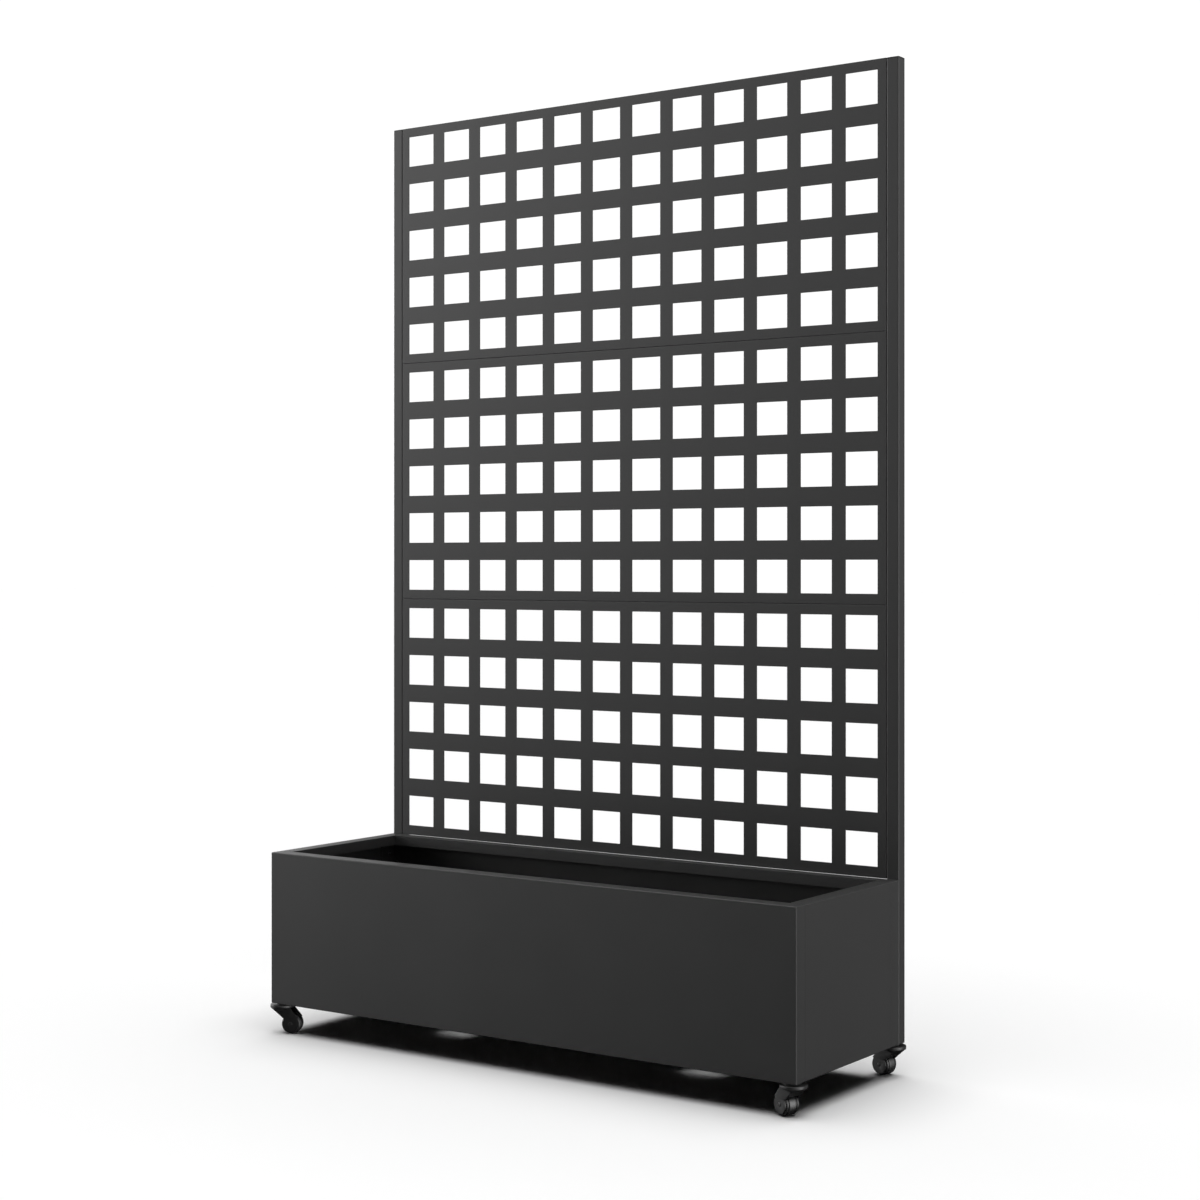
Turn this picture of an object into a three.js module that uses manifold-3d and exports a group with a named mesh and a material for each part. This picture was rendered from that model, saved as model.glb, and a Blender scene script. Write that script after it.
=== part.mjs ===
// Rolling planter with a trellis screen: a folded sheet-metal trough on four swivel casters.
// Two square posts stand behind the trough and hold three pierced panels, one above the other.
// Millimetres, +Z up, -Y front. The origin is on the ground, midway along and across.

import * as THREE from 'three';
import { mergeVertices } from 'three/addons/utils/BufferGeometryUtils.js';
import Module from 'manifold-3d';

const wasm = await Module();
wasm.setup();

// ---- Driving dimensions ----

const overallWidth = 1200; // along X, end to end
const overallDepth = 400; // along Y, front of the trough to the back of the posts
const boxHeight = 300; // trough, from its underside to its rim
const casterHeight = 60; // ground to the underside of the trough
const sheet = 1.5; // thickness of every folded sheet
const seatGap = 0.3; // clearance between pieces that rest on each other
const seamGap = 0.8; // open seam between an end panel and the corner returns

// Trough folds
const rimWidth = 30; // flat top flange
const lipDepth = 20; // edge turned down from the flange
const returnWidth = 30; // front and back panels wrapped round the corners
const footWidth = 30; // bottom flange turned in under the floor
const drainRadius = 15;
const drainSpacing = 581; // between the two drain holes

// Corner joints: welded studs through the end panel's tabs, with flange nuts inside
const studRadius = 2.5;
const studLength = 9;
const studFromCorner = 15;
const studFromRim = 41;
const studFromBottom = 41;
const tabInset = 20; // tab stops this far from the rim and the bottom
const tabRoot = 10; // joggle that joins a tab to its end panel
const nutRadius = 4.6; // across corners, half
const nutHeight = 4;
const nutFlangeRadius = 5.4;
const nutFlangeHeight = 1;

// Posts: square tube, open at the bottom and capped at the top
const postSize = 25;
const postWall = 1.5;
const capThickness = 2;
const plugDepth = 12;
const plugFit = 0.3; // plug to the tube's inside, each side
const postBoltRadius = 3;
const postBoltGrip = 7; // shank beyond the trough's back sheet
const postBoltHeadRadius = 5.2;
const postBoltHeadHeight = 3.4;
const postBoltFromRim = 62;
const postBoltFromBottom = 62;

// Trellis panels: shallow pans with square windows
const panelCount = 3;
const panelHeight = 499.5;
const panelGap = 0.3; // between stacked panels
const panelFootGap = 0.8; // under the lowest panel, light shows through it
const panelSideGap = 0.5; // to each post
const panelFlange = 20; // edge turned back all round
const windowColumns = 12;
const windowRows = 5;
const windowWidth = 66;
const windowHeight = 62.5;
const columnPitch = 95.2;
const rowPitch = 99.5;
const screwRadius = 2;
const screwReach = 5; // shank inside the tube
const screwHeadRadius = 4;
const screwHeadHeight = 2.2;
const screwSpacing = 320; // between the two screws on each side of a panel

// Casters
const casterInset = 19; // swivel axis to the outer faces, both ways
const plateRadius = 17; // round mounting plate under the trough
const plateThickness = 2.2;
const plateHubRadius = 7; // hub inside the ball race
const plateHubDepth = 2;
const kingpinRadius = 4;
const kingpinHeadRadius = 6.4;
const kingpinHeadHeight = 1.2;
const raceWidth = 5;
const raceHeight = 2.2;
const crownThickness = 4.4; // top of the fork, under the race
const wheelRadius = 20;
const wheelWidth = 24;
const trail = 16.5; // swivel axis to axle
const legThickness = 2.2;
const legDiscRadius = 16.6; // round end of a leg, over the side of the wheel
const axleRadius = 3;
const axleHeadRadius = 4;
const axleHeadHeight = 0.6;
const runningGap = 0.3; // wheel and kingpin clearances
const treadGroove = 2.6;
const treadGrooveDepth = 1.3;
const treadGrooveSet = 7.9; // grooves either side of the middle
const treadFlat = 5; // half of the tread's flat
const shoulderDrop = 0.5; // tread height lost by its outer edge
const shoulderRadius = 18.2;
const shoulderSet = 10.9;
const hubFaceRadius = 16.5;

// Fork head and hood, level by level: height, where its sides end ahead of the swivel axis, how far
// its front bulges beyond them, half its width, and its reach behind the axis
const hoodLevels = [
  { height: 57.2, sides: 4.5, bulge: 24.5, half: 24.5, behind: 20 },
  { height: 52, sides: 4.5, bulge: 24.5, half: 24.5, behind: 20 },
  { height: 50, sides: 14, bulge: 12.5, half: 19.5, behind: 16 },
  { height: 48, sides: 17.5, bulge: 5.5, half: 15.5, behind: 13 },
  { height: 46.4, sides: 16.8, bulge: 3.6, half: 14.5, behind: 12 },
  { height: 42, sides: 11.7, bulge: 2.6, half: 14.5, behind: 12 },
  { height: 37.6, sides: 6.4, bulge: 2.2, half: 14.5, behind: 12 },
];

// Outline of a leg above the axle, as distance behind the swivel axis and height
const legEdge = {
  front: [[-20.5, 49.8], [-16.8, 46.4], [-6.4, 37.4]],
  rear: [[32, 32], [13.5, 53.6]],
};

// Room for the wheel between the legs, as distance behind the swivel axis and height
const hoodRoom = [[-11.5, 46.5], [-7.5, 42], [-2, 36], [-2, 5], [60, 5], [60, 50.2], [-9, 50.2]];

// Casters at rest: the way each wheel trails, in degrees from +X
const casters = [
  { name: 'front_left', x: -1, y: -1, trailing: 24 },
  { name: 'front_right', x: 1, y: -1, trailing: 154 },
  { name: 'rear_left', x: -1, y: 1, trailing: -24 },
  { name: 'rear_right', x: 1, y: 1, trailing: 165 },
];

const roundSides = 24; // flanges, bells and wheels
const pinSides = 12; // pins, screws and small holes

// ---- Sizes that follow from the above ----

const halfWidth = overallWidth / 2;
const boxDepth = overallDepth - postSize - seatGap;
const halfDepth = boxDepth / 2;
const cornerWidth = Math.max(rimWidth, returnWidth);
const footCorner = Math.max(footWidth, returnWidth);
const studHeights = [studFromBottom, boxHeight - studFromRim];
const postBoltHeights = [postBoltFromBottom, boxHeight - postBoltFromRim];
const tabInner = halfWidth - 2 * sheet - seatGap;
const trellisBase = boxHeight + panelFootGap;
const trellisHeight = panelCount * panelHeight + (panelCount - 1) * panelGap;
const postHeight = trellisBase + trellisHeight - capThickness - seatGap;
const postX = halfWidth - postSize / 2;
const postY = halfDepth + seatGap + postSize / 2;
const panelHalfWidth = halfWidth - postSize - panelSideGap;
const screwHeights = [-screwSpacing / 2, screwSpacing / 2];
const innerLeg = wheelWidth / 2 + runningGap;
const outerLeg = innerLeg + legThickness;

// ---- Materials ----

const painted = (name) => {
  const material = new THREE.MeshStandardMaterial({ color: 0x3a3a3b, roughness: 0.5, metalness: 0.35 });
  material.name = name;
  return material;
};

const zinc = () => new THREE.MeshStandardMaterial({ color: 0x2c2c2d, roughness: 0.42, metalness: 0.6 });

const blackSteel = () => new THREE.MeshStandardMaterial({ color: 0x2b2b2c, roughness: 0.45, metalness: 0.4 });

const blackPlastic = () => new THREE.MeshStandardMaterial({ color: 0x1c1c1d, roughness: 0.5, metalness: 0 });

// ---- Solid helpers ----

function toSolid(geometry) {
  geometry.deleteAttribute('normal');
  geometry.deleteAttribute('uv');
  const merged = mergeVertices(geometry, 1e-4);
  return new wasm.Manifold(new wasm.Mesh({
    numProp: 3,
    vertProperties: new Float32Array(merged.attributes.position.array),
    triVerts: new Uint32Array(merged.index.array),
  }));
}

function toGeometry(solid) {
  const mesh = solid.getMesh();
  const geometry = new THREE.BufferGeometry();
  geometry.setAttribute('position', new THREE.BufferAttribute(mesh.vertProperties, 3));
  geometry.setIndex(new THREE.BufferAttribute(mesh.triVerts, 1));
  geometry.computeVertexNormals();
  return geometry;
}

function join(solids) {
  return solids.reduce((sum, solid) => sum.add(solid));
}

function cut(solid, tools) {
  return tools.reduce((rest, tool) => rest.subtract(tool), solid);
}

// A block between two values on each axis, given in either order
function block([xa, xb], [ya, yb], [za, zb]) {
  const geometry = new THREE.BoxGeometry(Math.abs(xb - xa), Math.abs(yb - ya), Math.abs(zb - za));
  geometry.translate((xa + xb) / 2, (ya + yb) / 2, (za + zb) / 2);
  return toSolid(geometry);
}

// A round or many-sided bar between two values along one axis, at a place on the other two
function bar(axis, radius, [a, b], [u, v], sides = pinSides) {
  const geometry = new THREE.CylinderGeometry(radius, radius, Math.abs(b - a), sides);
  const middle = (a + b) / 2;
  if (axis === 'x') {
    geometry.rotateZ(-Math.PI / 2);
    geometry.translate(middle, u, v);
  } else if (axis === 'y') {
    geometry.translate(u, middle, v);
  } else {
    geometry.rotateX(Math.PI / 2);
    geometry.translate(u, v, middle);
  }
  return toSolid(geometry);
}

// A closed ring or disc turned about Z from [radius, height] pairs
function turned(profile, sides = roundSides) {
  const points = [...profile, profile[0]].map(([radius, height]) => new THREE.Vector2(radius, height));
  const geometry = new THREE.LatheGeometry(points, sides);
  geometry.rotateX(Math.PI / 2);
  const solid = toSolid(geometry);
  return solid;
}

// A flat outline in X and Z, given thickness along Y
function plate(shape, [ya, yb]) {
  const geometry = new THREE.ExtrudeGeometry(shape, {
    depth: Math.abs(yb - ya),
    bevelEnabled: false,
    curveSegments: 8,
  });
  geometry.rotateX(Math.PI / 2);
  geometry.translate(0, Math.max(ya, yb), 0);
  return toSolid(geometry);
}

function piece(name, solid, material, position = [0, 0, 0]) {
  const mesh = new THREE.Mesh(toGeometry(solid), material);
  mesh.name = name;
  mesh.position.set(...position);
  return mesh;
}

// ---- Trough ----

// Front panel at side -1, back panel at side +1: face, corner returns, rim, lip and bottom flange
function longPanel(side) {
  const face = side * halfDepth;
  const inward = (distance) => side * (halfDepth - distance);
  const whole = [-halfWidth, halfWidth];
  const parts = [
    block(whole, [inward(sheet), face], [0, boxHeight]),
    block(whole, [inward(rimWidth), face], [boxHeight - sheet, boxHeight]),
    block(whole, [inward(footWidth), face], [0, sheet]),
    block(
      [-halfWidth + rimWidth, halfWidth - rimWidth],
      [inward(rimWidth), inward(rimWidth - sheet)],
      [boxHeight - lipDepth, boxHeight],
    ),
  ];
  for (const end of [-1, 1]) {
    parts.push(block(
      [end * (halfWidth - sheet), end * halfWidth],
      [inward(returnWidth), face],
      [0, boxHeight],
    ));
    for (const height of studHeights) {
      parts.push(bar(
        'x',
        studRadius,
        [end * (halfWidth - sheet / 2), end * (halfWidth - sheet - studLength)],
        [inward(studFromCorner), height],
      ));
    }
  }
  return join(parts);
}

function backPanel() {
  const holes = [];
  for (const end of [-1, 1]) {
    for (const height of postBoltHeights) {
      holes.push(bar(
        'y',
        postBoltRadius + seatGap,
        [halfDepth - 2 * sheet, halfDepth + sheet],
        [end * postX, height],
      ));
    }
  }
  return cut(longPanel(1), holes);
}

// Left end at side -1, right end at side +1: face between the returns, rim, lip, flange and tabs
function endPanel(side) {
  const face = side * halfWidth;
  const inward = (distance) => side * (halfWidth - distance);
  const spanFace = halfDepth - returnWidth - seamGap;
  const spanRim = halfDepth - cornerWidth - seatGap;
  const spanLip = halfDepth - rimWidth - seatGap;
  const spanFoot = halfDepth - footCorner - seatGap;
  const parts = [
    block([inward(sheet), face], [-spanFace, spanFace], [0, boxHeight]),
    block([inward(rimWidth), face], [-spanRim, spanRim], [boxHeight - sheet, boxHeight]),
    block([inward(footWidth), face], [-spanFoot, spanFoot], [0, sheet]),
    block(
      [inward(rimWidth), inward(rimWidth - sheet)],
      [-spanLip, spanLip],
      [boxHeight - lipDepth, boxHeight],
    ),
  ];
  const holes = [];
  for (const end of [-1, 1]) {
    const tip = end * (halfDepth - sheet - 2 * seatGap);
    const root = end * (spanFace - tabRoot);
    const heights = [tabInset, boxHeight - tabInset];
    parts.push(block([side * tabInner, side * (tabInner + sheet)], [tip, root], heights));
    parts.push(block(
      [side * (tabInner + sheet / 2), inward(sheet / 2)],
      [root, end * (spanFace - tabRoot / 2)],
      heights,
    ));
    for (const height of studHeights) {
      holes.push(bar(
        'x',
        studRadius + seatGap,
        [side * (tabInner - sheet), side * (tabInner + sheet + seatGap / 2)],
        [end * (halfDepth - studFromCorner), height],
      ));
    }
  }
  return cut(join(parts), holes);
}

// Flat sheet on the bottom flanges, its drains on the middle line of the whole footprint
function floorPanel() {
  const reachX = tabInner - seatGap;
  const reachY = halfDepth - sheet - seatGap;
  const low = sheet + seatGap;
  const drains = [-1, 1].map((end) => bar(
    'z',
    drainRadius,
    [low - sheet, low + 2 * sheet],
    [end * drainSpacing / 2, overallDepth / 2 - halfDepth],
    roundSides,
  ));
  return cut(block([-reachX, reachX], [-reachY, reachY], [low, low + sheet]), drains);
}

// Flange nut on a corner stud, its seat at the origin and its body towards +X
function cornerNut() {
  const body = bar('x', nutRadius, [0, nutHeight], [0, 0], 6);
  const flange = bar('x', nutFlangeRadius, [0, nutFlangeHeight], [0, 0]);
  const bore = bar('x', studRadius + seatGap, [-1, nutHeight + 1], [0, 0]);
  return cut(join([body, flange]), [bore]);
}

function cornerNuts() {
  const group = new THREE.Group();
  const solid = cornerNut();
  for (const [sideX, nameX] of [[-1, 'left'], [1, 'right']]) {
    for (const [sideY, nameY] of [[-1, 'front'], [1, 'rear']]) {
      studHeights.forEach((height, index) => {
        const name = `corner_nut_${nameY}_${nameX}_${index + 1}`;
        const nut = piece(name, solid, zinc(), [
          sideX * (tabInner - seatGap),
          sideY * (halfDepth - studFromCorner),
          height,
        ]);
        nut.rotation.z = sideX > 0 ? Math.PI : 0;
        group.add(nut);
      });
    }
  }
  return group;
}

// ---- Posts ----

// Square tube with holes for the trough bolts (front wall) and panel screws (inner wall)
function post(side) {
  const half = postSize / 2;
  const bore = half - postWall;
  const holes = [block([-bore, bore], [-bore, bore], [-1, postHeight + 1])];
  for (const height of postBoltHeights) {
    holes.push(bar('y', postBoltRadius + seatGap, [-half - 1, -bore + 1], [0, height]));
  }
  for (const height of panelScrewHeights()) {
    holes.push(bar('x', screwRadius + seatGap, [-side * (half + 1), -side * (bore - 1)], [0, height]));
  }
  return cut(block([-half, half], [-half, half], [0, postHeight]), holes);
}

function postCap() {
  const half = postSize / 2;
  const plug = half - postWall - plugFit;
  return join([
    block([-half, half], [-half, half], [0, capThickness]),
    block([-plug, plug], [-plug, plug], [-plugDepth, capThickness / 2]),
  ]);
}

// Hex-headed bolt from inside the trough, through its back sheet and the post's front wall
function postBolt() {
  return join([
    bar('y', postBoltHeadRadius, [-postBoltHeadHeight, 0], [0, 0], 6),
    bar('y', postBoltRadius, [-postBoltHeadHeight / 2, sheet + postBoltGrip], [0, 0]),
  ]);
}

function posts() {
  const group = new THREE.Group();
  for (const [side, name] of [[-1, 'left'], [1, 'right']]) {
    group.add(piece(`${name}_post`, post(side), painted('post'), [side * postX, postY, 0]));
    const capHeight = postHeight + seatGap;
    group.add(piece(`${name}_post_cap`, postCap(), painted('cap'), [side * postX, postY, capHeight]));
    postBoltHeights.forEach((height, index) => {
      const place = [side * postX, halfDepth - sheet - seatGap, height];
      group.add(piece(`post_bolt_${name}_${index + 1}`, postBolt(), zinc(), place));
    });
  }
  return group;
}

// ---- Trellis ----

function panelMiddle(index) {
  return trellisBase + index * (panelHeight + panelGap) + panelHeight / 2;
}

function panelScrewHeights() {
  const heights = [];
  for (let index = 0; index < panelCount; index += 1) {
    for (const offset of screwHeights) {
      heights.push(panelMiddle(index) + offset);
    }
  }
  return heights;
}

// Pierced face in front with its edges turned back, centred on X and Z, front face at Y = 0
function trellisPanel() {
  const halfHeight = panelHeight / 2;
  const sides = [-panelHalfWidth, panelHalfWidth];
  const ends = [-halfHeight, halfHeight];
  const windows = [];
  for (let column = 0; column < windowColumns; column += 1) {
    for (let row = 0; row < windowRows; row += 1) {
      const left = (column - (windowColumns - 1) / 2) * columnPitch - windowWidth / 2;
      const low = (row - (windowRows - 1) / 2) * rowPitch - windowHeight / 2;
      windows.push(block([left, left + windowWidth], [-sheet, 2 * sheet], [low, low + windowHeight]));
    }
  }
  const face = cut(block(sides, [0, sheet], ends), windows);
  const frame = cut(
    block(sides, [sheet / 2, panelFlange], ends),
    [block(
      [-panelHalfWidth + sheet, panelHalfWidth - sheet],
      [0, panelFlange + 1],
      [-halfHeight + sheet, halfHeight - sheet],
    )],
  );
  const holes = [];
  for (const side of [-1, 1]) {
    for (const height of screwHeights) {
      holes.push(bar(
        'x',
        screwRadius + seatGap,
        [side * (panelHalfWidth - 2 * sheet), side * (panelHalfWidth + sheet)],
        [postSize / 2, height],
      ));
    }
  }
  return cut(join([face, frame]), holes);
}

// Pan-headed screw, seat at the origin, shank towards +X
function panelScrew() {
  const grip = sheet + panelSideGap + postWall + screwReach;
  return join([
    bar('x', screwHeadRadius, [-screwHeadHeight, 0], [0, 0]),
    bar('x', screwRadius, [-screwHeadHeight / 2, grip], [0, 0], 8),
  ]);
}

function trellis() {
  const group = new THREE.Group();
  const panel = trellisPanel();
  const screw = panelScrew();
  const front = postY - postSize / 2;
  const names = ['lower', 'middle', 'upper'];
  for (let index = 0; index < panelCount; index += 1) {
    const name = `${names[index]}_trellis_panel`;
    group.add(piece(name, panel, painted('trellis'), [0, front, panelMiddle(index)]));
    for (const [side, sideName] of [[-1, 'left'], [1, 'right']]) {
      screwHeights.forEach((offset, count) => {
        const mesh = piece(`${names[index]}_screw_${sideName}_${count + 1}`, screw, zinc(), [
          side * (panelHalfWidth - sheet - seatGap),
          postY,
          panelMiddle(index) + offset,
        ]);
        mesh.rotation.z = side > 0 ? 0 : Math.PI;
        group.add(mesh);
      });
    }
  }
  return group;
}

// ---- Casters, with the swivel axis on Z and the ground at Z = 0 ----

const plateTop = casterHeight - seatGap;
const plateBottom = plateTop - plateThickness;
const raceTop = plateBottom - seatGap;
const raceInner = plateHubRadius + seatGap;
const raceOuter = raceInner + raceWidth;
const crownTop = raceTop - raceHeight - seatGap;
const crownBottom = crownTop - crownThickness;

function casterPlate() {
  const bore = kingpinRadius + seatGap;
  const recess = kingpinHeadRadius + seatGap;
  const recessFloor = plateTop - kingpinHeadHeight - 2 * seatGap;
  const hubBottom = plateBottom - plateHubDepth;
  return turned([
    [bore, hubBottom],
    [plateHubRadius, hubBottom],
    [plateHubRadius, plateBottom],
    [plateRadius, plateBottom],
    [plateRadius, plateTop],
    [recess, plateTop],
    [recess, recessFloor],
    [bore, recessFloor],
  ]);
}

function kingpin() {
  const headTop = plateTop - seatGap;
  const headSeat = headTop - kingpinHeadHeight;
  const tail = crownBottom - seatGap;
  const tailEnd = tail - kingpinHeadHeight;
  return turned([
    [0, tailEnd],
    [kingpinHeadRadius - 1, tailEnd],
    [kingpinHeadRadius, tail],
    [kingpinRadius, tail],
    [kingpinRadius, headSeat],
    [kingpinHeadRadius, headSeat],
    [kingpinHeadRadius, headTop],
    [0, headTop],
  ], pinSides);
}

function swivelRace() {
  return turned([
    [raceInner, raceTop - raceHeight],
    [raceOuter, raceTop - raceHeight],
    [raceOuter, raceTop],
    [raceInner, raceTop],
  ]);
}

// Half-round front, straight or half-round back, in the order a closed ring needs
function hoodRing({ height, sides, bulge, half, behind }) {
  const steps = 12;
  const ring = [];
  for (let step = 0; step <= steps; step += 1) {
    const angle = Math.PI * (step / steps - 0.5);
    ring.push([-sides - bulge * Math.cos(angle), -half * Math.sin(angle), height]);
  }
  for (let step = 1; step < steps; step += 1) {
    const angle = Math.PI * (step / steps + 0.5);
    ring.push([-sides - (behind + sides) * Math.cos(angle), -half * Math.sin(angle), height]);
  }
  return ring;
}

// Closed body through a stack of rings, highest first
function stacked(levels) {
  const rings = levels.map(hoodRing);
  const count = rings[0].length;
  const points = rings.flat(2);
  const faces = [];
  for (let level = 0; level + 1 < rings.length; level += 1) {
    for (let step = 0; step < count; step += 1) {
      const next = (step + 1) % count;
      const [a, b] = [level * count + step, level * count + next];
      const [c, d] = [a + count, b + count];
      faces.push(a, c, b, b, c, d);
    }
  }
  const last = (rings.length - 1) * count;
  for (let step = 1; step + 1 < count; step += 1) {
    faces.push(0, step, step + 1);
    faces.push(last, last + step + 1, last + step);
  }
  const geometry = new THREE.BufferGeometry();
  geometry.setAttribute('position', new THREE.Float32BufferAttribute(points, 3));
  geometry.setIndex(faces);
  return toSolid(geometry);
}

function outline(points) {
  return new THREE.Shape(points.map(([x, z]) => new THREE.Vector2(x, z)));
}

// Side of one leg: slants back from the head and ends in a disc over the side of the wheel
function legOutline() {
  const [first, ...front] = legEdge.front;
  const shape = new THREE.Shape();
  shape.moveTo(...first);
  front.forEach((point) => shape.lineTo(...point));
  shape.absarc(trail, wheelRadius, legDiscRadius, Math.PI * 0.81, Math.PI * 2.21, false);
  legEdge.rear.forEach((point) => shape.lineTo(...point));
  shape.lineTo(-10, 53.6);
  return shape;
}

function fork() {
  const leg = legOutline();
  const parts = [stacked(hoodLevels)];
  for (const side of [-1, 1]) {
    parts.push(plate(leg, [side * innerLeg, side * outerLeg]));
  }
  const bore = kingpinRadius + runningGap;
  const recess = raceOuter + runningGap;
  return cut(join(parts), [
    plate(outline(hoodRoom), [-innerLeg, innerLeg]),
    bar('z', bore, [crownBottom - 1, raceTop + 1], [0, 0]),
    bar('z', recess, [crownTop, raceTop + 1], [0, 0], roundSides),
    bar('y', axleRadius + seatGap, [-outerLeg - 1, outerLeg + 1], [trail, wheelRadius]),
  ]);
}

function axle() {
  const seat = outerLeg + seatGap;
  const parts = [bar('y', axleRadius, [-seat - axleHeadHeight / 2, seat + axleHeadHeight / 2], [0, 0])];
  for (const side of [-1, 1]) {
    parts.push(bar('y', axleHeadRadius, [side * seat, side * (seat + axleHeadHeight)], [0, 0]));
  }
  return join(parts);
}

// Wheel about Z, with a bore, flat hub faces, rounded shoulders and two tread grooves
function wheel() {
  const half = wheelWidth / 2;
  const edge = wheelRadius - shoulderDrop;
  const upper = [
    [wheelRadius, treadFlat],
    [edge, treadGrooveSet - treadGroove / 2],
    [edge - treadGrooveDepth, treadGrooveSet - treadGroove / 4],
    [edge - treadGrooveDepth, treadGrooveSet + treadGroove / 4],
    [edge, treadGrooveSet + treadGroove / 2],
    [shoulderRadius, shoulderSet],
    [hubFaceRadius, half],
  ];
  const lower = upper.map(([radius, height]) => [radius, -height]).reverse();
  const bore = axleRadius + runningGap;
  return turned([[bore, -half], ...lower, ...upper, [bore, half]]);
}

function caster({ name, x, y, trailing }) {
  const group = new THREE.Group();
  group.position.set(x * (halfWidth - casterInset), y * (overallDepth / 2 - casterInset), 0);
  group.add(piece(`caster_plate_${name}`, casterPlate(), blackSteel()));
  group.add(piece(`caster_kingpin_${name}`, kingpin(), blackSteel()));
  group.add(piece(`swivel_race_${name}`, swivelRace(), zinc()));
  const swivel = new THREE.Group();
  swivel.rotation.z = THREE.MathUtils.degToRad(trailing);
  swivel.add(piece(`caster_fork_${name}`, fork(), blackSteel()));
  swivel.add(piece(`caster_axle_${name}`, axle(), blackSteel(), [trail, 0, wheelRadius]));
  const tyre = piece(`caster_wheel_${name}`, wheel(), blackPlastic(), [trail, 0, wheelRadius]);
  tyre.rotation.x = Math.PI / 2;
  swivel.add(tyre);
  group.add(swivel);
  return group;
}

// ---- Assembly ----

function trough() {
  const group = new THREE.Group();
  group.add(piece('front_panel', longPanel(-1), painted('trough')));
  group.add(piece('back_panel', backPanel(), painted('trough')));
  group.add(piece('left_end_panel', endPanel(-1), painted('trough')));
  group.add(piece('right_end_panel', endPanel(1), painted('trough')));
  group.add(piece('floor_panel', floorPanel(), painted('trough')));
  group.add(cornerNuts());
  return group;
}

const planter = new THREE.Group();
const body = new THREE.Group();
body.position.set(0, -overallDepth / 2 + halfDepth, casterHeight);
body.add(trough(), posts(), trellis());
planter.add(body, ...casters.map(caster));

export default planter;
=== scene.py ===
import bmesh
import bpy
import math
from mathutils import Matrix, Vector


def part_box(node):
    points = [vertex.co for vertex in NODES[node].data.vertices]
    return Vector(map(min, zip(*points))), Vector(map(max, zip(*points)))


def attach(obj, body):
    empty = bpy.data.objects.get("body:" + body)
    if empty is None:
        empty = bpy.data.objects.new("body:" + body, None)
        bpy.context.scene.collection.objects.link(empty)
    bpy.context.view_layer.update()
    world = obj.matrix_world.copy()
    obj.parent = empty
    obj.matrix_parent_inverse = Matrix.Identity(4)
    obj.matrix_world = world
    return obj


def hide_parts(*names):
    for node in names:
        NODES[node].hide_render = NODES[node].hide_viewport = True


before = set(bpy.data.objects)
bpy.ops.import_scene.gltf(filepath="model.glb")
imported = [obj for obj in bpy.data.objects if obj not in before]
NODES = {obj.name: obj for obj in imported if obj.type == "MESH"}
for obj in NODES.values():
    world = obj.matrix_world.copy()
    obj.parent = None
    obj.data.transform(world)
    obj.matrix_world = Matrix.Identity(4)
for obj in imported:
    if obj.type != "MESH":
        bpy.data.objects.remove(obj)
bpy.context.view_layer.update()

MM = 0.001


# ---- Materials ----

class Tree:
    """Small helper for writing a node tree."""

    def __init__(self, tree):
        self.tree = tree
        tree.nodes.clear()

    def feed(self, socket, value):
        """Links an output to a socket, or sets the socket's own value."""
        if hasattr(value, "is_output"):
            self.tree.links.new(value, socket)
        else:
            socket.default_value = value

    def node(self, kind, values=None):
        made = self.tree.nodes.new(kind)
        for key, value in (values or {}).items():
            self.feed(made.inputs[key], value)
        return made

    def math(self, operation, *values, clamp=False):
        made = self.tree.nodes.new("ShaderNodeMath")
        made.operation = operation
        made.use_clamp = clamp
        for socket, value in zip(made.inputs, values):
            self.feed(socket, value)
        return made.outputs[0]

    def ramp(self, source, stops):
        made = self.tree.nodes.new("ShaderNodeValToRGB")
        elements = made.color_ramp.elements
        while len(elements) > 1:
            elements.remove(elements[-1])
        for index, (place, level) in enumerate(stops):
            element = elements[0] if index == 0 else elements.new(place)
            element.position = place
            element.color = grey(level)
        self.tree.links.new(source, made.inputs[0])
        return made.outputs[0]

    def mix(self, factor, a, b):
        made = self.tree.nodes.new("ShaderNodeMix")
        made.data_type = "RGBA"
        for socket, value in ((made.inputs[0], factor), (made.inputs[6], a), (made.inputs[7], b)):
            self.feed(socket, value)
        return made.outputs[2]

    def switch(self, factor, off, on):
        """Shader that is one thing where the factor is 0 and another where it is 1."""
        made = self.node("ShaderNodeMixShader", {0: factor})
        self.tree.links.new(off.outputs[0], made.inputs[1])
        self.tree.links.new(on.outputs[0], made.inputs[2])
        return made

    def finish(self, kind, shader):
        self.tree.links.new(shader.outputs[0], self.tree.nodes.new(kind).inputs[0])


def grey(level, tint=(1, 1, 1)):
    return (level * tint[0], level * tint[1], level * tint[2], 1)


COARSE_SCALE = 9.0  # mottling over the whole piece
PEEL_SHARE = 0.28  # orange peel, as a share of the grain's scale
SPECK_SCALE, SPECK_SIZE = 170.0, 0.07  # dust specks
PATCH_SCALE = 3.1  # patches that the dust lies in
DUST_TINT = (1, 0.99, 0.96)
DUST_LIGHTER = 4.0  # dust to the finish under it
BUMP_HEIGHT = 0.0004  # metres


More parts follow.
